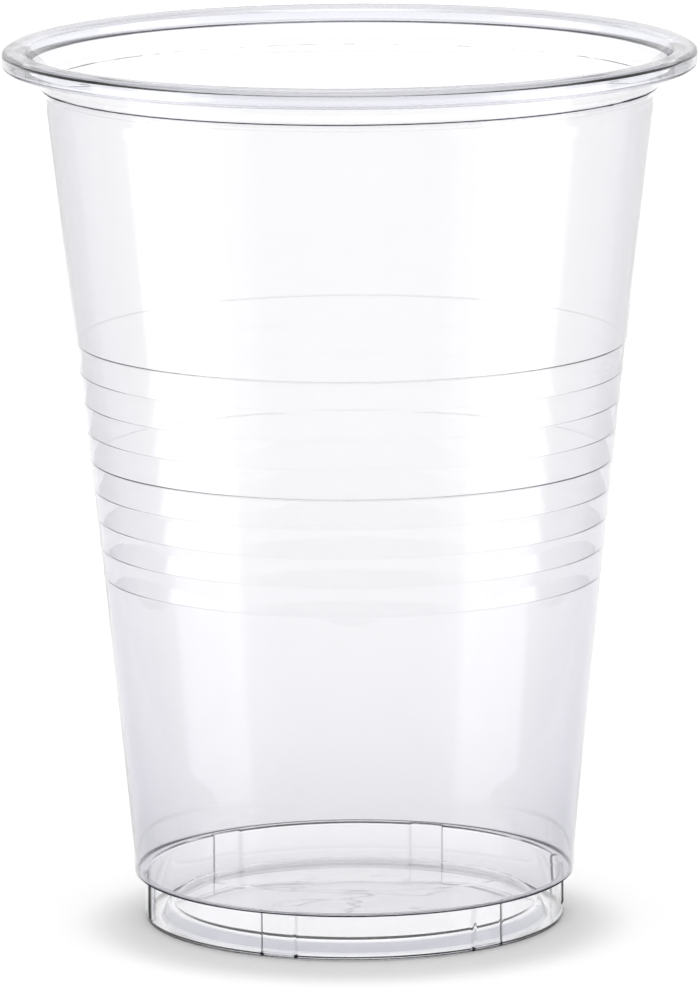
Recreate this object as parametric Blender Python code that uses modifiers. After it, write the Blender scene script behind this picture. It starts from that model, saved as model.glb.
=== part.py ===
"""Clear plastic disposable cup, thermoformed in one piece from one thin sheet.

Metres, +Z up. The origin is the centre of the circle on which the cup stands.
The sheet's middle line is drawn once as a profile, from the free end of the rolled rim to the
centre of the floor, and turned about Z. The lugs of the foot are pushed out of the turned skin,
and Solidify then gives the sheet its thickness, which changes along the wall.
"""

import math

import bmesh
import bpy
from mathutils import Vector

# Overall size
HEIGHT = 0.1216
RIM_DIAMETER = 0.0950

# Thickness of the sheet: the rim was stretched least and the wall most
RIM_SHEET = 0.00060
WALL_SHEET = 0.00034
FOOT_SHEET = 0.00030
FLOOR_SHEET = 0.00042

# Rolled rim, over its outer faces
CURL_WIDTH = 0.0034
CURL_DEPTH = 0.0026
CURL_CROWN = 0.0025
CURL_CORNER = 0.00025
CURL_HEEL = 0.0004
CURL_GAP = 0.00025

# Flared collar under the rim, and the small step from it to the body
COLLAR_DEPTH = 0.00525
COLLAR_DIAMETER = 0.0846
NECK_DEPTH = 0.0074
NECK_DIAMETER = 0.0829
NECK_SWEEP = 0.0010
NECK_SWEEP_SHARE = 0.33

# Grip rings: a short cylinder each, and a step down to the next
RING_COUNT = 8
RING_PITCH = 0.00406
RING_STEP = 0.000435
RING_SLOPE = 0.0016
FIRST_RING_HEIGHT = 0.0803
FIRST_RING_DIAMETER = 0.0752
MARKED_RINGS = (0, 4)
MARK_DEPTH = 0.00014
MARK_WIDTH = 0.00050

# Lower end of the body
HIP_HEIGHT = 0.0100
HIP_DIAMETER = 0.0612
HIP_TUCK = 0.0001
HIP_ROUND = 0.0006

# Foot ring under the body's ledge
LEDGE_HEIGHT = 0.0064
FOOT_DIAMETER = 0.0574
FOOT_ROUND = 0.00028
FLANGE_DIAMETER = 0.0581
FLANGE_HEIGHT = 0.0009
FLANGE_SLOPE = 0.0003
TOE_ROUND = 0.00025
TREAD_WIDTH = 0.0019

# Lugs on the foot ring
LUG_COUNT = 6
LUG_WIDTH = 0.0047
LUG_FLANK = 0.0003
LUG_RISE = 0.00050
LUG_TURN = math.radians(-21.0)

# Raised floor
FLOOR_DIAMETER = 0.0504
FLOOR_HEIGHT = 0.0021
FLOOR_ROUND = 0.0004
CROWN_DIAMETER = 0.0300
CROWN_RISE = 0.0004

# How finely the round shapes are divided
COLUMNS = 60
CROWN_PART_COUNT = 4
CORNER_PART_COUNT = 2
WELD = 0.00001
SMOOTH_ANGLE = math.radians(35.0)

# Colour of the clear plastic
PLASTIC_COLOUR = (0.93, 0.935, 0.96, 1.0)
PLASTIC_ROUGHNESS = 0.06
PLASTIC_INDEX = 1.49

FULL_TURN = 2.0 * math.pi
QUARTER_TURN = math.pi / 2.0


def clear_scene():
    """Removes what the scene holds at the start."""
    for item in list(bpy.data.objects):
        bpy.data.objects.remove(item, do_unlink=True)


def make_collection(name):
    """A new collection in the scene."""
    collection = bpy.data.collections.new(name)
    bpy.context.scene.collection.children.link(collection)
    return collection


def clear_plastic():
    """Colourless see-through plastic with a polished face."""
    material = bpy.data.materials.new("clear_plastic")
    material.use_nodes = True
    shader = material.node_tree.nodes["Principled BSDF"]
    shader.inputs["Base Color"].default_value = PLASTIC_COLOUR
    shader.inputs["Roughness"].default_value = PLASTIC_ROUGHNESS
    shader.inputs["Metallic"].default_value = 0.0
    shader.inputs["IOR"].default_value = PLASTIC_INDEX
    shader.inputs["Transmission Weight"].default_value = 1.0
    material.diffuse_color = PLASTIC_COLOUR
    return material


def arc(centre, radius, start, end, parts):
    """Points (radius, height) along an arc in the profile's plane, both ends included."""
    points = []
    for step in range(parts + 1):
        angle = start + (end - start) * step / parts
        points.append((centre[0] + radius * math.cos(angle), centre[1] + radius * math.sin(angle)))
    return points


def curl_profile(collar_foot):
    """Rolled rim: out from its free end under the roll, up the flank and over the crown."""
    half = RIM_SHEET / 2.0
    flank = RIM_DIAMETER / 2.0 - half
    base = HEIGHT - CURL_DEPTH + half
    heel = (flank - CURL_HEEL, base + CURL_HEEL)
    middle = (RIM_DIAMETER - CURL_WIDTH) / 2.0
    radius = CURL_CROWN - half
    corner = math.acos((flank - middle) / radius)
    corner_height = HEIGHT - CURL_CROWN + radius * math.sin(corner)
    start = corner + CURL_CORNER / radius
    crown = arc((middle, HEIGHT - CURL_CROWN), radius, start, math.pi - corner, CROWN_PART_COUNT)
    lip = crown[-1]
    slope = (lip[0] - collar_foot[0]) / (lip[1] - collar_foot[1])
    wall_here = collar_foot[0] + slope * (base - collar_foot[1])
    end = wall_here + RIM_SHEET / math.cos(math.atan(slope)) + CURL_GAP
    points = [(end, base)]
    points += arc(heel, CURL_HEEL, -QUARTER_TURN, 0.0, CORNER_PART_COUNT)
    points.append((flank, corner_height - CURL_CORNER))
    return points + crown


def neck_profile():
    """Collar's lower corner, and the sweep from it down to the top of the body."""
    half = WALL_SHEET / 2.0
    collar = (COLLAR_DIAMETER / 2.0 - half, HEIGHT - COLLAR_DEPTH)
    neck = (NECK_DIAMETER / 2.0 - half, HEIGHT - NECK_DEPTH)
    sweep = (neck[0] + (collar[0] - neck[0]) * NECK_SWEEP_SHARE, neck[1] + NECK_SWEEP)
    return [collar, sweep, neck]


def grip_profile():
    """Grip rings from the top: each is a short cylinder, and a slope leads down to the next."""
    half = WALL_SHEET / 2.0
    first = FIRST_RING_DIAMETER / 2.0 - half
    neck = NECK_DIAMETER / 2.0 - half
    neck_height = HEIGHT - NECK_DEPTH
    hip = HIP_DIAMETER / 2.0 - half
    taper = (neck - hip) / (neck_height - HIP_HEIGHT)
    shoulder_height = FIRST_RING_HEIGHT + RING_SLOPE
    points = [(neck - taper * (neck_height - shoulder_height), shoulder_height)]
    for ring in range(RING_COUNT + 1):
        radius = first - ring * RING_STEP
        top = FIRST_RING_HEIGHT - ring * RING_PITCH
        if ring in MARKED_RINGS:
            points.append((radius - MARK_DEPTH, top + MARK_WIDTH / 2.0))
            points.append((radius, top - MARK_WIDTH / 2.0))
        else:
            points.append((radius, top))
        if ring < RING_COUNT:
            points.append((radius, top - RING_PITCH + RING_SLOPE))
    return points


def hip_profile():
    """Lower end of the body, rounded in to the ledge over the foot ring."""
    half = WALL_SHEET / 2.0
    hip = HIP_DIAMETER / 2.0 - half
    edge = hip - HIP_TUCK
    ledge = LEDGE_HEIGHT + half
    centre = (edge - HIP_ROUND, ledge + HIP_ROUND)
    return [(hip, HIP_HEIGHT)] + arc(centre, HIP_ROUND, 0.0, -QUARTER_TURN, CORNER_PART_COUNT)


def foot_middle():
    """Radius of the sheet's middle line in the foot ring's panels."""
    return (FOOT_DIAMETER - FOOT_SHEET) / 2.0


def foot_reach():
    """Radius that all of the foot ring's wall stays outside of, its chords too."""
    return foot_middle() * math.cos(math.pi / COLUMNS) - WELD


def foot_profile():
    """Foot ring from the ledge down to its flange and the tread that the cup stands on."""
    half = FOOT_SHEET / 2.0
    ledge = LEDGE_HEIGHT + WALL_SHEET / 2.0
    panel = foot_middle()
    flange = FLANGE_DIAMETER / 2.0 - half
    tread = flange - TOE_ROUND
    return [
        (panel + FOOT_ROUND, ledge),
        (panel, ledge - FOOT_ROUND),
        (panel, FLANGE_HEIGHT),
        (flange, FLANGE_HEIGHT - FLANGE_SLOPE),
        (flange, half + TOE_ROUND),
        (tread, half),
        (tread - TREAD_WIDTH, half),
    ]


def floor_profile():
    """Raised floor from its rounded edge to the centre, with a low crown."""
    edge = FLOOR_DIAMETER / 2.0
    level = FLOOR_HEIGHT + FLOOR_SHEET / 2.0
    return [
        (edge + FLOOR_ROUND, level - FLOOR_ROUND),
        (edge, level),
        (CROWN_DIAMETER / 2.0, level + CROWN_RISE),
        (0.0, level + CROWN_RISE),
    ]


def sheet_profile():
    """The whole middle line as (radius, height, sheet thickness)."""
    neck = neck_profile()
    points = [(r, z, RIM_SHEET) for r, z in curl_profile(neck[0])]
    points += [(r, z, WALL_SHEET) for r, z in neck + grip_profile() + hip_profile()]
    points += [(r, z, FOOT_SHEET) for r, z in foot_profile()]
    points += [(r, z, FLOOR_SHEET) for r, z in floor_profile()]
    return points


def turn_skin(name, points):
    """Turns the profile about Z and returns the skin as a mesh, its weights kept."""
    mesh = bpy.data.meshes.new(name)
    edges = [(index, index + 1) for index in range(len(points) - 1)]
    mesh.from_pydata([(r, 0.0, z) for r, z, _ in points], edges, [])
    profile = bpy.data.objects.new(name, mesh)
    bpy.context.scene.collection.objects.link(profile)
    group = profile.vertex_groups.new(name="sheet")
    for index, point in enumerate(points):
        group.add([index], point[2] / RIM_SHEET, "REPLACE")
    screw = profile.modifiers.new("turn", "SCREW")
    screw.axis = "Z"
    screw.angle = FULL_TURN
    screw.steps = COLUMNS
    screw.render_steps = COLUMNS
    screw.use_merge_vertices = True
    screw.merge_threshold = WELD
    bpy.context.view_layer.update()
    graph = bpy.context.evaluated_depsgraph_get()
    skin = bpy.data.meshes.new_from_object(profile.evaluated_get(graph))
    bpy.data.objects.remove(profile, do_unlink=True)
    return skin


def lug_offset(point):
    """Distance round the foot ring from the middle of the nearest lug."""
    pitch = FULL_TURN / LUG_COUNT
    turn = math.atan2(point.x, -point.y) - LUG_TURN
    nearest = turn - pitch * round(turn / pitch)
    return abs(nearest) * FOOT_DIAMETER / 2.0


def in_foot_wall(point):
    """Whether a point of the skin is on the ledge or on the foot ring's wall over the flange."""
    ledge = LEDGE_HEIGHT + WALL_SHEET / 2.0
    outside = math.hypot(point.x, point.y) > foot_reach()
    return outside and FLANGE_HEIGHT - FLANGE_SLOPE - WELD < point.z < ledge + WELD


def cut_lug_sides(skin):
    """Cuts the foot ring's wall along both sides of each lug. One plane serves two lugs."""
    half_face = LUG_WIDTH / FOOT_DIAMETER
    flank = 2.0 * LUG_FLANK / FOOT_DIAMETER
    for lug in range(LUG_COUNT // 2):
        middle = LUG_TURN + FULL_TURN * lug / LUG_COUNT
        for side in (-half_face - flank, -half_face, half_face, half_face + flank):
            angle = middle + side
            faces = [f for f in skin.faces if all(in_foot_wall(v.co) for v in f.verts)]
            edges = {e for f in faces for e in f.edges}
            corners = {v for f in faces for v in f.verts}
            bmesh.ops.bisect_plane(
                skin,
                geom=faces + list(edges) + list(corners),
                dist=WELD,
                plane_co=(0.0, 0.0, 0.0),
                plane_no=(math.cos(angle), math.sin(angle), 0.0),
            )


def raise_lugs(skin):
    """Pushes the lugs out of the foot ring's wall, from its flange up to the ledge."""
    ledge = LEDGE_HEIGHT + WALL_SHEET / 2.0
    widest = foot_middle() + FOOT_ROUND + WELD
    for vertex in skin.verts:
        point = vertex.co
        radius = math.hypot(point.x, point.y)
        in_band = FLANGE_HEIGHT - WELD < point.z < ledge + WELD
        on_wall = foot_reach() < radius < widest
        if in_band and on_wall and lug_offset(point) < (LUG_WIDTH + LUG_FLANK) / 2.0:
            vertex.co += Vector((point.x, point.y, 0.0)).normalized() * LUG_RISE


def make_cup(collection):
    """The cup: turned skin, lugs raised, and the sheet's thickness given by Solidify."""
    mesh = turn_skin("cup", sheet_profile())
    skin = bmesh.new()
    skin.from_mesh(mesh)
    cut_lug_sides(skin)
    raise_lugs(skin)
    bmesh.ops.recalc_face_normals(skin, faces=skin.faces[:])
    skin.to_mesh(mesh)
    skin.free()
    cup = bpy.data.objects.new("cup", mesh)
    collection.objects.link(cup)
    mesh.materials.append(clear_plastic())
    mesh.shade_smooth()
    mesh.set_sharp_from_angle(angle=SMOOTH_ANGLE)
    sheet = cup.modifiers.new("sheet", "SOLIDIFY")
    sheet.thickness = RIM_SHEET
    sheet.offset = 0.0
    sheet.use_even_offset = True
    sheet.vertex_group = "sheet"
    return cup


def main():
    clear_scene()
    make_cup(make_collection("disposable_cup"))


main()
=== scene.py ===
"""Clear plastic disposable cup, thermoformed in one piece, in a plain white studio.

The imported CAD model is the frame. One finely meshed cup with a real wall replaces its faceted
node. The cup is a turned sheet: its middle line runs from the free end of the rolled rim to the
centre of the raised floor, both faces are offset from that line by half the sheet's thickness,
and the lugs of the foot ring are pushed out of it.
"""

from __future__ import annotations

import logging
import math
from dataclasses import dataclass, field
from enum import Enum
from typing import Any, Optional, Sequence, Union

import bpy
import numpy as np
from mathutils import Matrix, Vector

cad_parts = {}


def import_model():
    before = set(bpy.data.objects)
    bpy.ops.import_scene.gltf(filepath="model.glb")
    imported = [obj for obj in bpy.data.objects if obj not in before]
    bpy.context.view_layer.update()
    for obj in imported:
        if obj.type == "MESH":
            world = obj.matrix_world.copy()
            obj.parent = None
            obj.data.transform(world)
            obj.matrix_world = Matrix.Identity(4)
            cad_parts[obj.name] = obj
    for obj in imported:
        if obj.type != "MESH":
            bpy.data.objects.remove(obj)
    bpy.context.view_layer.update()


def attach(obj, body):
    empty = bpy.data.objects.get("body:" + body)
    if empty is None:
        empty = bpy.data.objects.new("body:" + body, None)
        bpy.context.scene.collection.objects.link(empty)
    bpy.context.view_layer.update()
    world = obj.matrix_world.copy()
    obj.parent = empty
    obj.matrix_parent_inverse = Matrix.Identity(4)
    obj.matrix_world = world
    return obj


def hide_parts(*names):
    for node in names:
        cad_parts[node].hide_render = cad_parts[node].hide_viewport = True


LOG = logging.getLogger("cup")
MM = 0.001
FULL_TURN = 2.0 * math.pi
# Name of the mesh attribute that holds the painted shade of the creases and lug flanks
CREASE_SHADE = "crease"
WHITE = (1.0, 1.0, 1.0)
SHARPEST_MITER = 0.7

# Sizes in mm that two or more sections of the sheet share
RIM_SHEET = 0.6
WALL_SHEET = 0.34
NECK_BEND = (42.13, 116.35)

Colour = tuple[float, float, float]
Band = tuple[float, float]
Window = tuple[float, float, float]


# Shader maths


class Value:
    """One output socket of a node tree. Python's operators on it add Math nodes."""

    def __init__(self, tree: "ShaderTree", socket: Any) -> None:
        """Keeps the socket and the tree it is in.

        Args:
            tree: The tree that new Math nodes go into.
            socket: The output socket.
        """
        self.tree = tree
        self.socket = socket

    def _math(self, operation: str, first: "Term", second: Optional["Term"] = None) -> "Value":
        """Adds a Math node of one or two terms.

        Args:
            operation: Blender's name of the operation.
            first: The first term.
            second: The second term, where the operation has one.

        Returns:
            The node's result.
        """
        terms = {0: first} if second is None else {0: first, 1: second}
        return self.tree.add("ShaderNodeMath", {"operation": operation}, terms)

    def __add__(self, other: "Term") -> "Value":
        """Sum of both."""
        return self._math("ADD", self, other)

    def __radd__(self, other: "Term") -> "Value":
        """Sum of both."""
        return self._math("ADD", other, self)

    def __sub__(self, other: "Term") -> "Value":
        """This less the other."""
        return self._math("SUBTRACT", self, other)

    def __rsub__(self, other: "Term") -> "Value":
        """The other less this."""
        return self._math("SUBTRACT", other, self)

    def __mul__(self, other: "Term") -> "Value":
        """Product of both."""
        return self._math("MULTIPLY", self, other)

    def __rmul__(self, other: "Term") -> "Value":
        """Product of both."""
        return self._math("MULTIPLY", other, self)

    def __neg__(self) -> "Value":
        """This with its sign changed."""
        return self._math("MULTIPLY", self, -1.0)

    def __abs__(self) -> "Value":
        """This without its sign."""
        return self._math("ABSOLUTE", self)

    def most(self, other: "Term") -> "Value":
        """The larger of both."""
        return self._math("MAXIMUM", self, other)

    def least(self, other: "Term") -> "Value":
        """The smaller of both."""
        return self._math("MINIMUM", self, other)

    def angle_over(self, other: "Term") -> "Value":
        """Angle of the point whose ordinate is this and whose abscissa is the other."""
        return self._math("ARCTAN2", self, other)

    def rise(self, start: float, end: float) -> "Value":
        """Smooth step from 0 at start to 1 at end.

        Args:
            start: Where the step leaves 0.
            end: Where it reaches 1. It may be the lower of the two.

        Returns:
            The step.
        """
        if end < start:
            return 1.0 - self.rise(end, start)
        settings = {"interpolation_type": "SMOOTHSTEP", "clamp": True}
        ends = {"Value": self, "From Min": start, "From Max": end}
        return self.tree.add("ShaderNodeMapRange", settings, ends)

    def window(self, low: float, high: float, soft: float) -> "Value":
        """1 between low and high, falling to 0 over soft on both outer sides.

        Args:
            low: Lower edge.
            high: Upper edge.
            soft: Width of each edge's fall.

        Returns:
            The window.
        """
        return self.rise(low - soft, low) * self.rise(high + soft, high)


Term = Union[Value, float]


class ShaderTree:
    """A node tree that is filled through one method."""

    def __init__(self, owner: Any) -> None:
        """Empties the node tree of a material or a world.

        Args:
            owner: The material or the world.
        """
        owner.use_nodes = True
        self.nodes = owner.node_tree.nodes
        self.links = owner.node_tree.links
        self.nodes.clear()

    def add(
        self,
        kind: str,
        settings: Optional[dict[str, Any]] = None,
        inputs: Optional[dict[Union[str, int], Any]] = None,
        output: Union[str, int] = 0,
    ) -> Value:
        """Adds a node of any kind.

        Args:
            kind: Blender's name of the node type.
            settings: Attributes to set before the sockets.
            inputs: What each input socket gets: a Value to link, or a constant.
            output: The output socket to hand back.

        Returns:
            The output socket as a Value.
        """
        node = self.nodes.new(kind)
        for name, setting in (settings or {}).items():
            setattr(node, name, setting)
        for name, given in (inputs or {}).items():
            if isinstance(given, Value):
                self.links.new(given.socket, node.inputs[name])
            else:
                node.inputs[name].default_value = given
        return Value(self, node.outputs[output] if len(node.outputs) else None)

    def split(self, vector: Value) -> tuple[Value, Value, Value]:
        """The three parts of a vector.

        Args:
            vector: The vector.

        Returns:
            Its X, Y and Z.
        """
        node = self.add("ShaderNodeSeparateXYZ", {}, {0: vector}).socket.node
        return (
            Value(self, node.outputs[0]),
            Value(self, node.outputs[1]),
            Value(self, node.outputs[2]),
        )

    def join(self, x: Term, y: Term, z: Term) -> Value:
        """A vector of three parts.

        Args:
            x: First part.
            y: Second part.
            z: Third part.

        Returns:
            The vector.
        """
        return self.add("ShaderNodeCombineXYZ", {}, {0: x, 1: y, 2: z})

    def noise(self, vector: Value, scale: float, detail: float) -> Value:
        """Value of a noise texture.

        Args:
            vector: The point.
            scale: How many waves there are in a unit.
            detail: How many finer waves lie over them.

        Returns:
            The noise, from 0 to 1.
        """
        inputs = {"Vector": vector, "Scale": scale, "Detail": detail}
        return self.add("ShaderNodeTexNoise", {}, inputs)

    def blend(self, share: Term, first: Any, second: Any) -> Value:
        """A colour between two, the second by the share.

        Args:
            share: How much of the second colour there is.
            first: First colour.
            second: Second colour.

        Returns:
            The mixed colour.
        """
        settings = {"data_type": "RGBA", "clamp_factor": True}
        return self.add("ShaderNodeMix", settings, {0: share, 6: first, 7: second}, 2)


def opaque(colour: Colour) -> tuple[float, float, float, float]:
    """The colour with a full alpha."""
    return (*colour, 1.0)


def squares(lengths: Sequence[float]) -> tuple[float, ...]:
    """Each length times itself."""
    return tuple(length * length for length in lengths)


# Finishes


@dataclass(frozen=True)
class ClearSheet:
    """Thermoformed clear plastic: see-through, glossy, and slightly wavy where it was drawn.

    Long streaks run down the wall, where the sheet was drawn, and faint hazy patches and scuffs
    lie over them. The wall is tinted, and darkened by painted shade most where it slants and near
    its foot. Sharp turns of the sheet are greyed by painted shade, and the sharpest carry a
    painted matt dark line. The skirt has a painted shade colour. Lengths are in metres, and the
    skirt's softness is in square metres. A band is where something begins and where it is full. A
    window is where it is full, and how soft both of its edges are.
    """

    tint: Colour = (0.918, 0.915, 0.922)
    haze: Colour = (0.905, 0.903, 0.912)
    clear: Colour = (0.99, 0.99, 0.998)
    roll: Colour = (0.96, 0.962, 0.995)
    # edge: colour of the painted shade on the wall's slanting sides and near its foot
    edge: Colour = (0.595, 0.588, 0.65)
    # skirt: painted shade colour on the short inner wall under the floor
    skirt: Colour = (0.51, 0.52, 0.58)
    # Colour of the creases' painted shade, also used for the floor's veins
    painted_light_and_shade: Colour = (0.02, 0.02, 0.06)
    # Colour of the painted matt dark line at the sharpest turns
    line: Colour = (0.04, 0.04, 0.07)
    index: float = 1.49
    streaks_round: float = 140.0
    streaks_up: float = 40.0
    streak_depth: float = 0.00002
    patches: float = 38.0
    patch_band: Band = (0.52, 0.72)
    patch_haze: float = 0.12
    scuffs_round: float = 60.0
    scuffs_up: float = 900.0
    scuff_band: Band = (0.66, 0.74)
    scuff_haze: float = 0.5
    scuff_rough: float = 0.06
    wall_out: Band = (0.0262, 0.0275)
    wall_up: Window = (0.0072, 0.1160, 0.0008)
    # Painted shade at the slanting sides, stronger towards the bottom, and evenly near the foot
    slant_shade_high: float = 0.9
    slant_shade_low: float = 1.6
    slant_shade_band: Band = (0.105, 0.0)
    low_wall_shade: float = 0.24
    low_wall_shade_band: Band = (0.085, 0.0)
    roll_band: Band = (0.1180, 0.1190)
    skirt_out: Band = (0.0254, 0.0266)
    skirt_soft: float = 0.0000002
    skirt_band: Band = (0.0021, 0.0018)
    skirt_share: float = 0.75
    ring_up: Window = (0.0009, 0.0071, 0.0003)
    flank_slants: Band = (0.1, 0.85)
    flank_most: float = 1.2
    flank_least: float = 0.08
    bend_up: Window = (0.1158, 0.1168, 0.0002)
    bend_least: float = 0.06
    # Strength of painted crease shade over which the painted dark line is mixed in
    painted_line_band: Band = (0.45, 0.85)
    veins: float = 170.0
    vein_stretch: Band = (0.5, 1.3)
    vein_half: float = 0.022
    vein_out: Band = (0.017, 0.003)
    vein_up: Band = (0.0034, 0.0032)
    vein_shade: float = 0.5

    def make(self) -> Any:
        """Builds the material: clear plastic, with a painted matt dark line mixed in at the
        sharpest turns.

        Returns:
            The material.
        """
        material = bpy.data.materials.new("clear_plastic")
        tree = ShaderTree(material)
        place = tree.add("ShaderNodeTexCoord", output="Object")
        slant = tree.add("ShaderNodeLayerWeight", {}, {"Blend": 0.5}, "Facing")
        patches, scuffs = self._wear(tree, place)
        hazy = scuffs * self.scuff_haze + patches * self.patch_haze
        colour = tree.blend(hazy, opaque(self.tint), opaque(self.haze))
        colour = self._zones(tree, place, slant, colour)
        # Painted shade at the sheet's creases; the floor's veins share its dark colour
        painted_crease_shade = self._painted_crease_shade(tree, place, slant)
        grey = painted_crease_shade.most(self._veins(tree, place))
        inputs = {
            "Base Color": tree.blend(grey, colour, opaque(self.painted_light_and_shade)),
            "Roughness": scuffs * self.scuff_rough,
            "IOR": self.index,
            "Transmission Weight": 1.0,
            "Normal": self._streaks(tree, place),
        }
        surface = tree.add("ShaderNodeBsdfPrincipled", {}, inputs)
        # A matt dark line: painted shade mixed in where the painted crease shade is strongest
        line = tree.add("ShaderNodeBsdfDiffuse", {}, {"Color": opaque(self.line)})
        drawn = painted_crease_shade.rise(*self.painted_line_band)
        both = tree.add("ShaderNodeMixShader", {}, {0: drawn, 1: surface, 2: line})
        tree.add("ShaderNodeOutputMaterial", {}, {"Surface": both})
        return material

    def _streaks(self, tree: ShaderTree, place: Value) -> Value:
        """Low waves of the surface, stretched down the wall.

        Args:
            tree: The tree.
            place: The point, in metres.

        Returns:
            The surface's direction.
        """
        x, y, z = tree.split(place)
        wrap = tree.join(x * self.streaks_round, y * self.streaks_round, z * self.streaks_up)
        waves = tree.noise(wrap, 1.0, 0.0)
        bump = {"Strength": 1.0, "Distance": self.streak_depth, "Height": waves}
        return tree.add("ShaderNodeBump", {}, bump)

    def _wear(self, tree: ShaderTree, place: Value) -> tuple[Value, Value]:
        """Hazy patches, and thin level scuffs inside them.

        Args:
            tree: The tree.
            place: The point, in metres.

        Returns:
            The patches and the scuffs, each from 0 to 1.
        """
        x, y, z = tree.split(place)
        patches = tree.noise(place, self.patches, 1.0).rise(*self.patch_band)
        level = tree.join(x * self.scuffs_round, y * self.scuffs_round, z * self.scuffs_up)
        return patches, patches * tree.noise(level, 1.0, 0.0).rise(*self.scuff_band)

    def _zones(self, tree: ShaderTree, place: Value, slant: Value, drawn: Value) -> Value:
        """Colour of each zone: the wall, the clear foot and floor, the roll, and the skirt.

        The wall goes to the edge colour, a painted shade, with the square of its slant, and evenly
        near its foot. The skirt is the short inner wall between the tread and the floor; its
        colour there is a painted shade.

        Args:
            tree: The tree.
            place: The point, in metres.
            slant: How far the surface turns away, from 0 to 1.
            drawn: Colour of the drawn wall where it is seen square on.

        Returns:
            The colour.
        """
        x, y, z = tree.split(place)
        away = x * x + y * y
        # Painted shade: the slanting sides go to the edge colour, more towards the bottom, and
        # evenly near the foot
        slant_shade_strength = self.slant_shade_high + z.rise(*self.slant_shade_band) * (self.slant_shade_low - self.slant_shade_high)
        base = z.rise(*self.low_wall_shade_band) * self.low_wall_shade
        wall_with_painted_shade = tree.blend(slant * slant * slant_shade_strength + base, drawn, opaque(self.edge))
        bare = tree.blend(z.rise(*self.roll_band), opaque(self.clear), opaque(self.roll))
        wall = away.rise(*squares(self.wall_out)) * z.window(*self.wall_up)
        colour = tree.blend(wall, bare, wall_with_painted_shade)
        # Painted shade on the skirt
        skirt = away.window(*squares(self.skirt_out), self.skirt_soft) * z.rise(*self.skirt_band)
        return tree.blend(skirt * self.skirt_share, colour, opaque(self.skirt))

    def _painted_crease_shade(self, tree: ShaderTree, place: Value, slant: Value) -> Value:
        """How strong the creases' painted shade is here.

        The foot ring's painted shade is strong where the surface slants, and faint where it
        doesn't. The bend's painted shade under the rim is faint from within the sheet.

        Args:
            tree: The tree.
            place: The point, in metres.
            slant: How far the surface turns away, from 0 to 1.

        Returns:
            The strength. It passes 1 at some slants.
        """
        z = tree.split(place)[2]
        painted_crease_shade = tree.add("ShaderNodeAttribute", {"attribute_name": CREASE_SHADE}, output="Fac")
        # The foot ring's painted shade grows with the slant; the bend's is faint from within
        turned = slant.rise(*self.flank_slants) * self.flank_most + self.flank_least
        painted_crease_shade = painted_crease_shade * (1.0 - z.window(*self.ring_up) * (1.0 - turned))
        within = tree.add("ShaderNodeNewGeometry", output="Backfacing")
        return painted_crease_shade * (1.0 - z.window(*self.bend_up) * within * (1.0 - self.bend_least))

    def _veins(self, tree: ShaderTree, place: Value) -> Value:
        """Fine wavy lines in the middle of the raised floor, where the sheet chilled first.

        They lie where a noise passes its middle value, and fade out from the axis.

        Args:
            tree: The tree.
            place: The point, in metres.

        Returns:
            How grey the floor is, from 0 to the veins' shade.
        """
        x, y, z = tree.split(place)
        along = tree.join(x * self.vein_stretch[0], y * self.vein_stretch[1], z)
        off = abs(tree.noise(along, self.veins, 1.0) - 0.5)
        middle = (x * x + y * y).rise(*squares(self.vein_out)) * z.rise(*self.vein_up)
        return off.rise(self.vein_half, 0.0) * middle * self.vein_shade


@dataclass(frozen=True)
class WhiteTable:
    """Matt white table top. What it lacks of pure white glows, and keeps the cup's shadow.

    The glow is stronger under the cup, a painted pool of light, and weaker close round it, a
    painted shadow.
    Lengths are in metres.
    """

    colour: Colour = (0.80, 0.80, 0.805)
    grain: float = 220.0
    grain_share: float = 0.02
    glow: float = 0.335
    # Painted pool of light under the cup
    painted_light_and_shade: float = 0.6
    painted_glow_out: Band = (0.029, 0.0265)
    # Painted shadow close round the cup's foot, shifted towards the front
    painted_shadow: float = 0.24
    painted_shadow_ahead: float = 0.005
    painted_shadow_out: Band = (0.040, 0.0295)

    def make(self) -> Any:
        """Builds the material. From below it is clear.

        Returns:
            The material.
        """
        material = bpy.data.materials.new("white_table")
        tree = ShaderTree(material)
        place = tree.add("ShaderNodeTexCoord", output="Object")
        grain = tree.noise(place, self.grain, 2.0) * self.grain_share
        colour = tree.blend(grain, opaque(self.colour), opaque(WHITE))
        matt = tree.add("ShaderNodeBsdfDiffuse", {}, {"Color": colour})
        glow = tree.add("ShaderNodeEmission", {}, {"Strength": self._glow(tree, place)})
        lit = tree.add("ShaderNodeAddShader", {}, {0: matt, 1: glow})
        below = tree.add("ShaderNodeNewGeometry", output="Backfacing")
        clear = tree.add("ShaderNodeBsdfTransparent")
        both = tree.add("ShaderNodeMixShader", {}, {0: below, 1: lit, 2: clear})
        tree.add("ShaderNodeOutputMaterial", {}, {"Surface": both})
        return material

    def _glow(self, tree: ShaderTree, place: Value) -> Value:
        """How strongly the top glows, for all rays but the ones that light what is matt, with a
        painted pool of light under the cup and a painted shadow close round its foot.

        Args:
            tree: The tree.
            place: The point, in metres.

        Returns:
            The strength.
        """
        seen = tree.add("ShaderNodeLightPath", output="Is Camera Ray")
        seen = seen.most(tree.add("ShaderNodeLightPath", output="Is Glossy Ray"))
        seen = seen.most(tree.add("ShaderNodeLightPath", output="Is Transmission Ray"))
        x, y, _ = tree.split(place)
        # Painted pool of light under the cup, and painted shadow close round the foot
        painted_glow_mask = (x * x + y * y).rise(*squares(self.painted_glow_out))
        ahead = y + self.painted_shadow_ahead
        close = (x * x + ahead * ahead).rise(*squares(self.painted_shadow_out))
        return seen * (self.glow - close * self.painted_shadow + painted_glow_mask * self.painted_light_and_shade)


# The sheet's middle line


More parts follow.
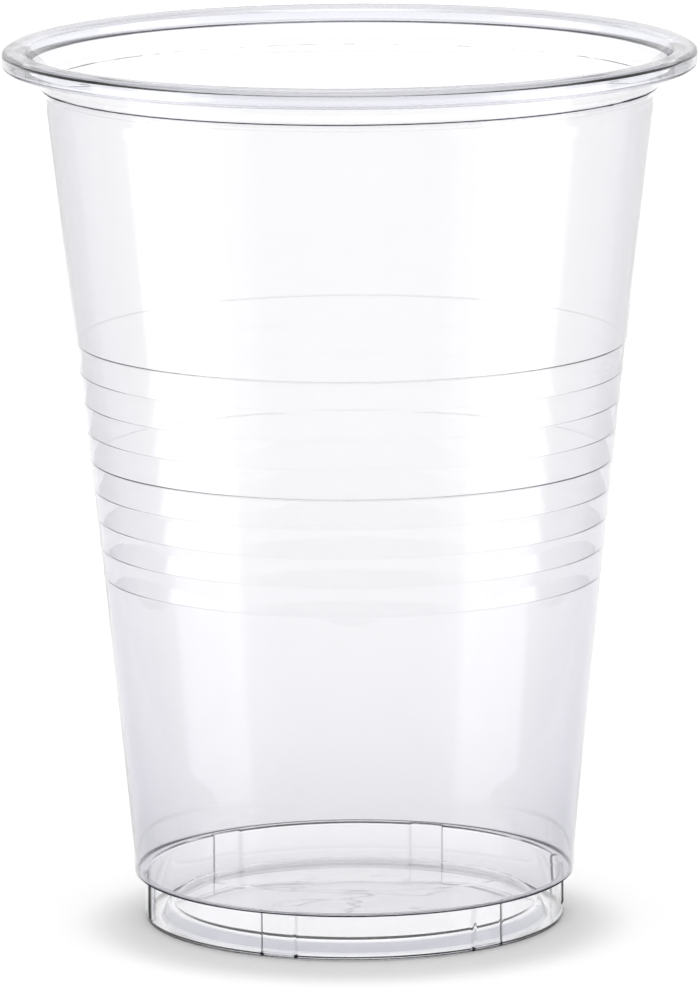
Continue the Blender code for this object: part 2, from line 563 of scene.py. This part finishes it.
def straight(start: Sequence[float], end: Sequence[float], parts: int) -> np.ndarray:
    """Points along a straight line, the start left out.

    Args:
        start: First point, as (radius, height).
        end: Last point.
        parts: How many points there are.

    Returns:
        The points, one in each row.
    """
    share = np.linspace(0.0, 1.0, parts + 1)[1:, None]
    return np.asarray(start) * (1.0 - share) + np.asarray(end) * share


def rounded(line: np.ndarray, radii: Sequence[float], parts: int) -> np.ndarray:
    """A polyline with its inner corners rounded by arcs.

    Each corner is cut back along both of its sides by the radius times the tangent of half the
    turn, and an arc that touches both sides joins the cuts.

    Args:
        line: The corners, one (radius, height) in each row.
        radii: Radius of each inner corner. 0 leaves it sharp.
        parts: How many parts each arc has.

    Returns:
        The points of the rounded line.
    """
    points = [line[0]]
    for before, corner, after, radius in zip(line[:-2], line[1:-1], line[2:], radii):
        if radius == 0.0:
            points.append(corner)
            continue
        come = (corner - before) / np.linalg.norm(corner - before)
        leave = (after - corner) / np.linalg.norm(after - corner)
        turn = math.acos(float(np.clip(come @ leave, -1.0, 1.0)))
        cut = radius * math.tan(turn / 2.0)
        side = math.copysign(1.0, come[0] * leave[1] - come[1] * leave[0])
        across = np.array([-come[1], come[0]]) * side
        centre = corner - come * cut + across * radius
        swing = np.linspace(0.0, turn, parts + 1)[:, None]
        points.extend(centre - across * radius * np.cos(swing) + come * radius * np.sin(swing))
    points.append(line[-1])
    return np.array(points)


def with_sheet(points: np.ndarray, thick: Union[float, np.ndarray]) -> np.ndarray:
    """The points with the sheet's thickness there as a third column."""
    return np.column_stack([points, np.broadcast_to(thick, len(points))])


def held(line: np.ndarray, margin: float, least: float) -> np.ndarray:
    """The line with a point close to each sharp turn on every long stretch beside it.

    These points keep the turn's shading from spreading along the stretch.

    Args:
        line: Rows of (radius, height, thickness).
        margin: Distance of a new point from its turn.
        least: Smallest turn, as an angle, that gets such points.

    Returns:
        The rows with the new ones between them.
    """
    along = np.diff(line[:, :2], axis=0)
    length = np.linalg.norm(along, axis=1)
    along = along / length[:, None]
    turn = np.arccos(np.clip(np.sum(along[1:] * along[:-1], axis=1), -1.0, 1.0))
    sharp = np.concatenate([[False], turn > least, [False]])
    rows = [line[0]]
    for index, long in enumerate(length > 4.0 * margin):
        share = margin / length[index]
        step = line[index + 1] - line[index]
        if long and sharp[index]:
            rows.append(line[index] + step * share)
        if long and sharp[index + 1]:
            rows.append(line[index + 1] - step * share)
        rows.append(line[index + 1])
    return np.array(rows)


@dataclass(frozen=True)
class Crease:
    """A sharp turn of the sheet, where painted shade greys the plastic.

    Its strength falls off from the place as a bell over the reach. The inner face has the inner
    share of it.
    """

    place: tuple[float, float]
    reach: float
    share: float
    inner: float = 1.0

    def shade(self, line: np.ndarray, inner_face: bool) -> np.ndarray:
        """How strong the crease's painted shade is on one face, at each point of the middle line.

        Args:
            line: Middle line of the sheet.
            inner_face: Whether the shade is that of the inner face.

        Returns:
            The shade at each point.
        """
        away = np.hypot(line[:, 0] - self.place[0], line[:, 1] - self.place[1])
        share = self.share * (self.inner if inner_face else 1.0)
        return share * np.exp(-((away / self.reach) ** 2))


class Step(Enum):
    """How the sheet steps in at a grip ring's edge: depth of the crease in mm and its painted
    shade.
    """

    SOFT = (0.07, 0.02)
    CRISP = (0.13, 0.12)


@dataclass
class RolledRim:
    """Rim rolled outwards: a low crown, a flank, and the free end turned in under it.

    The crown gives up its first few parts to the outer corner and its last few to the lip.
    """

    top: float = 121.598
    radius: float = 47.5
    width: float = 3.4
    depth: float = 2.6
    crown: float = 2.5
    crown_parts: int = 10
    sheet: float = RIM_SHEET
    end_sheet: float = 0.22
    corner: float = 0.3
    corner_room: float = 0.1
    corner_parts: int = 3
    lip: float = 0.5
    lip_parts: int = 2
    heel: float = 0.3
    gap: float = 0.25
    heel_arc_parts: int = 5
    lip_arc_parts: int = 4
    corner_in: tuple[float, float] = (0.5, 0.6)
    corner_shade: float = 0.52
    corner_reach: float = 0.28
    crown_shade: float = 0.25
    crown_reach: float = 1.2
    heel_shade: float = 0.5
    heel_reach: float = 0.13
    foot: tuple[float, float] = NECK_BEND

    def line(self) -> np.ndarray:
        """Middle line from the free end to the lip, where the collar begins.

        The crown is an arc over the middle of the roll, from the flank to the lip.

        Returns:
            Rows of (radius, height, thickness), in mm.
        """
        half = self.sheet / 2.0
        middle = self.radius - self.width / 2.0
        flank = self.radius - half
        base = self.top - self.depth + self.end_sheet / 2.0
        bend = self.crown - half
        spread = math.acos((flank - middle) / bend)
        swing = np.linspace(spread, math.pi - spread, self.crown_parts + 1)
        centre = np.array([middle, self.top - self.crown])
        crown = centre + bend * np.column_stack([np.cos(swing), np.sin(swing)])
        foot = np.array(self.foot)
        slope = (crown[-1, 0] - foot[0]) / (crown[-1, 1] - foot[1])
        wall = foot[0] + slope * (base - foot[1])
        end = wall + self.sheet / math.cos(math.atan(slope)) + self.gap
        shoulder = crown[0, 1] - self.corner - self.corner_room
        past_corner = crown[self.corner_parts]
        before_lip = crown[-1 - self.lip_parts]
        under = np.array(
            [[end, base], [flank, base], [flank, shoulder], [flank, crown[0, 1]], past_corner]
        )
        start = rounded(under, (self.heel, 0.0, self.corner), self.heel_arc_parts)
        over = np.array([before_lip, crown[-1], foot])
        last = rounded(over, (self.lip,), self.lip_arc_parts)
        kept = crown[self.corner_parts:-self.lip_parts]
        points = np.vstack([start[:-1], kept, last[1:-1]])
        share = np.clip((points[:, 0] - flank + self.heel) / self.heel, 0.0, 1.0)
        share[points[:, 1] > base + self.heel] = 1.0
        return with_sheet(points, self.end_sheet + (self.sheet - self.end_sheet) * share)

    def creases(self) -> list[Crease]:
        """The outer corner of the crown, the crown itself, and the heel of the flank."""
        middle = self.radius - self.width / 2.0
        cut = self.heel * (1.0 - math.sqrt(0.5))
        heel = (
            self.radius - self.sheet / 2.0 - cut,
            self.top - self.depth + self.end_sheet / 2.0 + cut,
        )
        corner = (self.radius - self.corner_in[0], self.top - self.corner_in[1])
        return [
            Crease(corner, self.corner_reach, self.corner_shade),
            Crease((middle, self.top), self.crown_reach, self.crown_shade),
            Crease(heel, self.heel_reach, self.heel_shade),
        ]


@dataclass
class Collar:
    """Flared collar under the rim, the bend at its foot, and the sweep to the cone."""

    foot: tuple[float, float] = NECK_BEND
    flare_parts: int = 4
    neck: tuple[tuple[float, float], ...] = ((41.62, 115.35), (41.30, 114.2))
    neck_rounds: tuple[float, float] = (1.6, 3.0)
    bend: float = 0.15
    bend_margin: float = 0.2
    bend_shade: float = 0.95
    bend_reach: float = 0.17
    arc_parts: int = 5
    rim_sheet: float = RIM_SHEET
    sheet: float = WALL_SHEET
    thinning: float = 1.5

    def line(self, lip: np.ndarray, body: np.ndarray) -> np.ndarray:
        """Middle line from the lip to the top of the body.

        Args:
            lip: Last point of the rim.
            body: First point of the body.

        Returns:
            Rows of (radius, height, thickness), in mm, without the lip and the body's point.
        """
        foot = np.array(self.foot)
        neck = np.array(self.neck)
        up, down = lip[:2] - foot, neck[0] - foot
        before = foot + up * (self.bend_margin / np.linalg.norm(up))
        after = foot + down * (self.bend_margin / np.linalg.norm(down))
        flare = np.vstack([lip[:2], straight(lip[:2], before, self.flare_parts), foot, after])
        corners = np.vstack([flare, neck, body[:2]])
        radii = [0.0] * self.flare_parts + [self.bend, 0.0, *self.neck_rounds]
        points = rounded(corners, radii, self.arc_parts)[1:-1]
        share = np.clip((points[:, 1] - foot[1]) / (lip[1] - foot[1]), 0.0, 1.0)
        thicker = (self.rim_sheet - self.sheet) * share**self.thinning
        return with_sheet(points, self.sheet + thicker)

    def creases(self) -> list[Crease]:
        """The bend under the flare."""
        return [Crease(self.foot, self.bend_reach, self.bend_shade, inner=0.0)]


@dataclass
class GripBody:
    """Tapered body: a cone, eight grip rings between nine fine creases, and a lower cone."""

    sheet: float = WALL_SHEET
    top: tuple[float, float] = (41.25, 112.6)
    first: tuple[float, float] = (37.65, 81.1)
    pitch: float = 4.06
    taper: float = 0.435
    lines: int = 9
    crisp: tuple[int, ...] = (0, 4)
    crease: float = 0.24
    reach: float = 0.13
    cone_foot: tuple[float, float] = (30.43, 10.0)
    step_points: int = 5
    face_parts: int = 4
    cone_parts: int = 3
    low_parts: int = 4

    def _kind(self, ring: int) -> Step:
        """The kind of a crease, counted from the top."""
        return Step.CRISP if ring in self.crisp else Step.SOFT

    def _mean(self, ring: int) -> tuple[float, float]:
        """Radius and height of the middle of a ring's crease."""
        radius, height = self.first
        return radius - ring * self.taper, height - ring * self.pitch

    def _step(self, ring: int) -> np.ndarray:
        """A crease: a step in by half a cosine wave between two steep faces.

        Args:
            ring: Which of the creases, from the top.

        Returns:
            The crease's points from the top down.
        """
        radius, middle = self._mean(ring)
        depth = self._kind(ring).value[0]
        share = np.linspace(0.0, 1.0, self.step_points)
        fall = 0.5 * np.cos(math.pi * share)
        return np.column_stack([radius + depth * fall, middle + self.crease * (0.5 - share)])

    def line(self) -> np.ndarray:
        """Middle line from the foot of the neck to the hip.

        Returns:
            Rows of (radius, height, thickness), in mm.
        """
        steps = [self._step(ring) for ring in range(self.lines)]
        cone = straight(self.top, steps[0][0], self.cone_parts)
        points = [np.array([self.top]), cone[:-1], steps[0]]
        for above, below in zip(steps[:-1], steps[1:]):
            points.extend([self._face(above[-1], below[0]), below])
        points.append(straight(steps[-1][-1], self.cone_foot, self.low_parts))
        return with_sheet(np.vstack(points), self.sheet)

    def _face(self, start: np.ndarray, end: np.ndarray) -> np.ndarray:
        """The face of a ring: it tapers most under its upper crease and ends upright.

        The radius falls as a parabola whose vertex is at the lower end.

        Args:
            start: Last point of the upper crease.
            end: First point of the lower crease.

        Returns:
            The points between both.
        """
        share = np.linspace(0.0, 1.0, self.face_parts + 1)[1:-1]
        fall = 2.0 * share - share**2
        return np.column_stack(
            [start[0] + (end[0] - start[0]) * fall, start[1] + (end[1] - start[1]) * share]
        )

    def creases(self) -> list[Crease]:
        """The rings' creases."""
        return [
            Crease(self._mean(ring), self.reach, self._kind(ring).value[1])
            for ring in range(self.lines)
        ]


@dataclass
class FootRing:
    """Hip, ledge, foot ring with its flange, and the tread that the cup stands on."""

    wall_sheet: float = WALL_SHEET
    sheet: float = 0.30
    hip: tuple[float, float] = (30.37, 7.4)
    hip_lean: float = 0.03
    hip_round: float = 0.55
    ledge: float = 6.57
    panel: float = 28.55
    panel_round: float = 0.3
    flange: float = 28.9
    flange_top: float = 0.95
    flange_root_round: float = 0.25
    flange_low: float = 0.55
    flange_round: float = 0.3
    toe_round: float = 0.3
    tread: float = 26.75
    tread_round: float = 0.3
    arc_parts: int = 5
    ledge_shade: float = 4.0
    ledge_reach: float = 0.26
    ledge_place: tuple[float, float] = (30.11, 6.675)

    def line(self, body: np.ndarray, floor: np.ndarray) -> np.ndarray:
        """Middle line from the body's lower end to the edge of the floor.

        Args:
            body: Last point of the body.
            floor: First point of the floor.

        Returns:
            Rows of (radius, height, thickness), in mm, without those two points.
        """
        half = self.sheet / 2.0
        edge = self.hip[0] - self.hip_lean
        corners = np.array(
            [
                body[:2],
                self.hip,
                (edge, self.ledge),
                (self.panel, self.ledge),
                (self.panel, self.flange_top),
                (self.flange, self.flange_low),
                (self.flange, half),
                (self.tread, half),
                floor[:2],
            ]
        )
        flange = (self.flange_root_round, self.flange_round)
        radii = (0.0, self.hip_round, self.panel_round, *flange, self.toe_round, self.tread_round)
        points = rounded(corners, radii, self.arc_parts)[1:-1]
        share = np.clip((points[:, 1] - self.ledge) / (self.hip[1] - self.ledge), 0.0, 1.0)
        return with_sheet(points, self.sheet + (self.wall_sheet - self.sheet) * share)

    def creases(self) -> list[Crease]:
        """The overhanging corner of the ledge."""
        return [Crease(self.ledge_place, self.ledge_reach, self.ledge_shade)]


@dataclass
class RaisedFloor:
    """Floor raised off the table, with a soft crown and faint ripples."""

    sheet: float = 0.42
    edge: float = 25.3
    level: float = 2.31
    wall_foot: tuple[float, float] = (0.55, 0.62)
    corner: float = 0.5
    corner_room: float = 0.6
    corner_parts: int = 4
    crown: float = 0.4
    crown_fall: float = 1.2
    ripple: float = 0.05
    ripples: float = 3.5
    ripple_fall: float = 1.4
    points: int = 16

    def line(self) -> np.ndarray:
        """Middle line from the top of the inner foot wall to the axis.

        The crown rises as a cosine towards the axis, and the ripples are a cosine that fades
        out towards the floor's edge.

        Returns:
            Rows of (radius, height, thickness), in mm.
        """
        out, down = self.wall_foot
        corner = np.array([(self.edge + out, self.level - down), (self.edge, self.level)])
        radius = np.linspace(self.edge - self.corner_room, 0.0, self.points)
        share = radius / self.edge
        fall = np.clip(share * self.crown_fall, 0.0, 1.0)
        crown = self.crown * (0.5 + 0.5 * np.cos(math.pi * fall))
        fade = np.clip(1.0 - share * self.ripple_fall, 0.0, 1.0) ** 2
        ripple = self.ripple * np.cos(FULL_TURN * self.ripples * share) * fade
        face = np.column_stack([radius, self.level + crown + ripple])
        line = rounded(np.vstack([corner, face[:1]]), (self.corner,), self.corner_parts)
        return with_sheet(np.vstack([line, face[1:]]), self.sheet)


@dataclass
class LugBelt:
    """Six lugs on the foot ring, each a shallow block with steep flanks and a rounded foot.

    A lug rises between the two low heights over the toe, and fades out between the two radii of
    the ledge. The body is the height above which there is none of it.
    """

    count: int = 6
    turn: float = math.radians(-21.0)
    width: float = 4.9
    flank: float = 0.34
    rise: float = 0.5
    ring: float = 28.7
    low: Band = (0.5, 0.95)
    ledge: Band = (28.95, 29.6)
    body: float = 6.9
    tread_reach: float = 1.2
    crowding: float = 7.0
    crowd_spread: float = 0.9
    samples: int = 7200
    flank_shade: float = 1.6
    shade_spread: float = 0.5
    shade_inner: float = 28.3
    shade_low: float = 0.4

    def shade(self, angle: np.ndarray, line: np.ndarray) -> np.ndarray:
        """How much painted shade greys the lugs' flanks: a bell across each flank, from the toe to
        the ledge.

        Args:
            angle: Turn of each column.
            line: Middle line of the sheet.

        Returns:
            The shade, a row for each point of the line and a column for each turn.
        """
        past = (self.offset(angle) - self.width / 2.0) / (self.flank * self.shade_spread)
        radius, height = line[:, 0], line[:, 1]
        wall = (radius > self.shade_inner) & (radius < self.ledge[0])
        upright = wall & (height > self.shade_low) & (height < self.body)
        return self.flank_shade * upright[:, None] * np.exp(-(past**2))[None, :]

    def offset(self, angle: np.ndarray) -> np.ndarray:
        """Distance round the ring from the middle of the nearest lug, in mm.

        Args:
            angle: Turn about the axis, from -Y towards +X.

        Returns:
            The distances.
        """
        pitch = FULL_TURN / self.count
        turn = angle - self.turn
        return np.abs(turn - pitch * np.round(turn / pitch)) * self.ring

    def columns(self, count: int) -> np.ndarray:
        """Turns of the mesh's columns, closer together at the lugs' flanks.

        The columns' density is one everywhere, plus a bell over each flank. Its running sum,
        turned round, places the columns.

        Args:
            count: How many columns there are.

        Returns:
            The turns, from 0 to just under a full turn.
        """
        angle = np.linspace(0.0, FULL_TURN, self.samples + 1)
        gap = (self.offset(angle) - self.width / 2.0) / (self.flank * self.crowd_spread)
        density = 1.0 + self.crowding * np.exp(-(gap**2))
        reach = np.concatenate([[0.0], np.cumsum((density[1:] + density[:-1]) / 2.0)])
        return np.interp(np.arange(count) / count, reach / reach[-1], angle)

    def push(self, angle: np.ndarray, line: np.ndarray) -> np.ndarray:
        """How far each point of the sheet is pushed out by the lugs.

        Round the ring the lug is flat and falls off by half a cosine wave over each flank. Up
        the sheet it starts over the toe, and it fades out along the ledge.

        Args:
            angle: Turn of each column.
            line: Middle line of the sheet.

        Returns:
            The push in mm, a row for each point of the line and a column for each turn.
        """
        past = (self.offset(angle) - (self.width - self.flank) / 2.0) / self.flank
        across = 0.5 + 0.5 * np.cos(math.pi * np.clip(past, 0.0, 1.0))
        radius, height = line[:, 0], line[:, 1]
        up = np.clip((height - self.low[0]) / (self.low[1] - self.low[0]), 0.0, 1.0)
        out = np.clip((radius - self.ledge[0]) / (self.ledge[1] - self.ledge[0]), 0.0, 1.0)
        wall = (radius > self.ring - self.tread_reach) & (height < self.body)
        along = (3.0 * up**2 - 2.0 * up**3) * (0.5 + 0.5 * np.cos(math.pi * out)) * wall
        return self.rise * along[:, None] * across[None, :]


@dataclass
class CupShell:
    """The whole cup as one closed mesh."""

    rim: RolledRim = field(default_factory=RolledRim)
    collar: Collar = field(default_factory=Collar)
    body: GripBody = field(default_factory=GripBody)
    foot: FootRing = field(default_factory=FootRing)
    floor: RaisedFloor = field(default_factory=RaisedFloor)
    lugs: LugBelt = field(default_factory=LugBelt)
    columns: int = 225
    margin: float = 0.12
    least_turn: float = 0.06
    finish: ClearSheet = field(default_factory=ClearSheet)

    def middle_line(self) -> np.ndarray:
        """The sheet's middle line from the rim's free end to the centre of the floor.

        Returns:
            Rows of (radius, height, thickness), in mm.
        """
        rim = self.rim.line()
        body = self.body.line()
        floor = self.floor.line()
        collar = self.collar.line(rim[-1], body[0])
        foot = self.foot.line(body[-1], floor[0])
        return held(np.vstack([rim, collar, body, foot, floor]), self.margin, self.least_turn)

    @staticmethod
    def faces_of(line: np.ndarray) -> tuple[np.ndarray, np.ndarray]:
        """Both faces of the sheet, half its thickness to each side of the middle line.

        The side direction at a point is square to the mean of its two neighbouring segments,
        and the offset grows by the miter, so that the thickness holds round a corner.

        Args:
            line: Rows of (radius, height, thickness).

        Returns:
            The outer and the inner face, as rows of (radius, height).
        """
        points = line[:, :2]
        along = np.diff(points, axis=0)
        along /= np.linalg.norm(along, axis=1)[:, None]
        first = np.vstack([along[:1], along])
        second = np.vstack([along, np.array([[-1.0, 0.0]])])
        mean = first + second
        mean /= np.linalg.norm(mean, axis=1)[:, None]
        miter = 1.0 / np.clip(np.sum(mean * second, axis=1), SHARPEST_MITER, 1.0)
        side = np.column_stack([-mean[:, 1], mean[:, 0]]) * (line[:, 2] / 2.0 * miter)[:, None]
        outer, inner = points + side, points - side
        outer[-1, 0] = inner[-1, 0] = 0.0
        return outer, inner

    def shade(self, line: np.ndarray, turns: np.ndarray, inner_face: bool) -> np.ndarray:
        """How much painted shade the sheet's creases and the lugs' flanks lay on one of its faces.

        Args:
            line: Middle line of the sheet.
            turns: Turn of each column.
            inner_face: Whether the shade is that of the inner face.

        Returns:
            The shade from 0 to 1, a row for each point of the line and a column for each turn.
        """
        creases = [
            *self.rim.creases(),
            *self.collar.creases(),
            *self.body.creases(),
            *self.foot.creases(),
        ]
        along = np.sum([crease.shade(line, inner_face) for crease in creases], axis=0)
        return np.clip(along[:, None] + self.lugs.shade(turns, line), 0.0, 1.0)

    def grid(self) -> tuple[np.ndarray, list[tuple[int, ...]], np.ndarray]:
        """Vertices, faces and shades of the turned sheet.

        The section's closed loop runs down the outer face to the axis and back up the inner
        one. Each of its points is turned into a circle, apart from the two on the axis.

        Returns:
            The vertices in metres, the faces, and the painted shade at each vertex.
        """
        line = self.middle_line()
        outer, inner = self.faces_of(line)
        turns = self.lugs.columns(self.columns)
        push = self.lugs.push(turns, line)
        rings = np.vstack([outer[:-1], inner[-2::-1]])
        pushed = np.vstack([push[:-1], push[-2::-1]])
        reach = rings[:, :1] + pushed
        x = reach * np.sin(turns)
        y = -reach * np.cos(turns)
        z = np.broadcast_to(rings[:, 1:], x.shape)
        circles = np.stack([x, y, z], axis=2).reshape(-1, 3)
        poles = np.array([[0.0, 0.0, outer[-1, 1]], [0.0, 0.0, inner[-1, 1]]])
        vertices = np.vstack([circles, poles]) * MM
        out_shade = self.shade(line, turns, inner_face=False)[:-1]
        in_shade = self.shade(line, turns, inner_face=True)[-2::-1]
        shades = np.concatenate([out_shade.ravel(), in_shade.ravel(), [0.0, 0.0]])
        return vertices, self._faces(len(rings), len(outer) - 1, len(circles)), shades

    def _faces(self, rings: int, half: int, pole: int) -> list[tuple[int, ...]]:
        """Faces between the circles, and the fans round the two poles.

        Args:
            rings: How many circles there are.
            half: How many of them are on the outer face.
            pole: Index of the first pole's vertex.

        Returns:
            The faces, as tuples of vertex indices.
        """
        here = np.arange(self.columns)
        after = (here + 1) % self.columns
        low = np.delete(np.arange(rings), half - 1)
        high = (low + 1) % rings
        quads = np.stack(
            [
                low[:, None] * self.columns + here,
                high[:, None] * self.columns + here,
                high[:, None] * self.columns + after,
                low[:, None] * self.columns + after,
            ],
            axis=2,
        ).reshape(-1, 4)
        last = (half - 1) * self.columns
        first = half * self.columns
        under = np.column_stack([last + here, np.full_like(here, pole), last + after])
        over = np.column_stack([np.full_like(here, pole + 1), first + here, first + after])
        return [tuple(face) for face in quads.tolist() + under.tolist() + over.tolist()]

    def build(self) -> Any:
        """Makes the cup, dresses it and puts it on the frame.

        Returns:
            The cup's object.
        """
        vertices, faces, shades = self.grid()
        mesh = bpy.data.meshes.new("cup_shell")
        mesh.from_pydata(vertices.tolist(), [], faces)
        mesh.shade_smooth()
        # The attribute holds the painted shade of the creases and the lugs' flanks
        crease = mesh.attributes.new(CREASE_SHADE, "FLOAT", "POINT")
        crease.data.foreach_set("value", shades.astype(np.float32))
        mesh.materials.append(self.finish.make())
        cup = bpy.data.objects.new("cup_shell", mesh)
        bpy.context.scene.collection.objects.link(cup)
        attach(cup, "root")
        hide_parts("cup")
        return cup


# The studio


@dataclass
class Studio:
    """White table and a bright tent round it, dimmer above, with soft boxes beside and overhead.

    The table's sizes are in metres. Turns are in degrees from the camera's side, and heights are
    those of a direction of length 1.
    """

    table_half: float = 0.17
    table_front: float = -0.15
    table_back: float = 1.05
    white: float = 1.07
    horizon: float = 1.0
    front: float = 0.74
    front_turns: Band = (50.0, 35.0)
    box: float = 2.5
    box_turns: Window = (58.0, 92.0, 6.0)
    dim: float = 0.9
    dim_turns: Window = (104.0, 142.0, 14.0)
    dome_front: float = 0.8
    dome_back: float = 0.85
    dome_turns: Band = (60.0, 125.0)
    dome_up: Band = (0.30, 0.72)
    zenith: float = 2.0
    zenith_up: Band = (0.80, 0.90)
    lamp: float = 2.1
    lamp_up: Band = (0.55, 0.95)
    fill: float = 0.08
    table: WhiteTable = field(default_factory=WhiteTable)

    def build(self) -> Any:
        """Makes the table top and the world.

        Returns:
            The table top's object.
        """
        self._world()
        half = self.table_half
        outline = [
            (-half, self.table_front, 0.0),
            (half, self.table_front, 0.0),
            (half, self.table_back, 0.0),
            (-half, self.table_back, 0.0),
        ]
        mesh = bpy.data.meshes.new("table_top")
        mesh.from_pydata(outline, [], [(0, 1, 2, 3)])
        mesh.materials.append(self.table.make())
        table = bpy.data.objects.new("table_top", mesh)
        bpy.context.scene.collection.objects.link(table)
        return table

    def _world(self) -> None:
        """Fills the world: white for straight rays, the tent for reflections, a lamp for the rest.

        What is seen directly or through the sheet is plain white. What is mirrored is the tent,
        however often it is then refracted. What is matt is lit by the lamp overhead.
        """
        world = bpy.data.worlds.new("tent")
        bpy.context.scene.world = world
        tree = ShaderTree(world)
        direction = tree.add("ShaderNodeTexCoord", output="Generated")
        mirrored = tree.add("ShaderNodeLightPath", output="Glossy Depth").least(1.0)
        matt = tree.add("ShaderNodeLightPath", output="Is Diffuse Ray")
        seen = mirrored * (self._tent(tree, direction) - self.white) + self.white
        above = tree.split(direction)[2].rise(*self.lamp_up) * self.lamp + self.fill
        strength = seen * (1.0 - matt) + above * matt
        light = {"Color": opaque(WHITE), "Strength": strength}
        background = tree.add("ShaderNodeBackground", {}, light)
        tree.add("ShaderNodeOutputWorld", {}, {"Surface": background})

    def _tent(self, tree: ShaderTree, direction: Value) -> Value:
        """How bright the tent is in a direction.

        Round its horizon the light is level, dimmer on the camera's side, with a bright soft box
        on each side and a dimmer stretch behind each box. It falls off upwards to the dome, and
        a soft box hangs overhead.

        Args:
            tree: The tree.
            direction: The direction, of length 1.

        Returns:
            The brightness.
        """
        x, y, z = tree.split(direction)
        turn = abs(x.angle_over(-y)) * math.degrees(1.0)
        level = self.horizon - turn.rise(*self.front_turns) * (self.horizon - self.front)
        level = level + turn.window(*self.box_turns) * (self.box - self.horizon)
        level = level - turn.window(*self.dim_turns) * (self.horizon - self.dim)
        backwards = turn.rise(*self.dome_turns)
        dome = self.dome_front + backwards * (self.dome_back - self.dome_front)
        up = z.rise(*self.dome_up)
        level = level * (1.0 - up) + up * dome
        return level + z.rise(*self.zenith_up) * (self.zenith - dome)


@dataclass
class PhotoCamera:
    """Camera at the photograph's place: a long lens, slightly over the rim, a hair rolled."""

    place: tuple[float, float, float] = (-0.0003, -1.150, 0.2684)
    pitch: float = 10.365
    roll: float = -0.339
    lens: float = 436.3
    sensor: float = 36.0
    near: float = 0.05
    far: float = 50.0

    def build(self) -> Any:
        """Makes the camera and the scene's colour settings.

        Returns:
            The camera's object.
        """
        data = bpy.data.cameras.new("photo_camera")
        data.sensor_fit = "HORIZONTAL"
        data.sensor_width = self.sensor
        data.lens = self.lens
        data.clip_start = self.near
        data.clip_end = self.far
        camera = bpy.data.objects.new("photo_camera", data)
        bpy.context.scene.collection.objects.link(camera)
        tilt = Matrix.Rotation(math.radians(90.0 - self.pitch), 4, "X")
        roll = Matrix.Rotation(math.radians(self.roll), 4, "Z")
        camera.matrix_world = Matrix.Translation(Vector(self.place)) @ tilt @ roll
        bpy.context.scene.camera = camera
        bpy.context.scene.view_settings.view_transform = "Standard"
        return camera


def corners(box: Any) -> list[list[float]]:
    """A bounding box as plain lists of numbers."""
    return [[float(value) for value in corner] for corner in box]


def main() -> None:
    """Loads the frame, builds the cup, the studio and the camera."""
    logging.basicConfig(level=logging.INFO, format="%(name)s: %(message)s")
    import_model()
    camera = PhotoCamera().build()
    LOG.info("camera %s at %s", camera.name, [round(v, 4) for v in camera.location])
    cup = CupShell().build()
    LOG.info("piece %s: %d vertices, %d faces", cup.name, len(cup.data.vertices),
             len(cup.data.polygons))
    table = Studio().build()
    LOG.info("stage %s", table.name)
    bpy.context.view_layer.update()


if __name__ == "__main__":
    main()
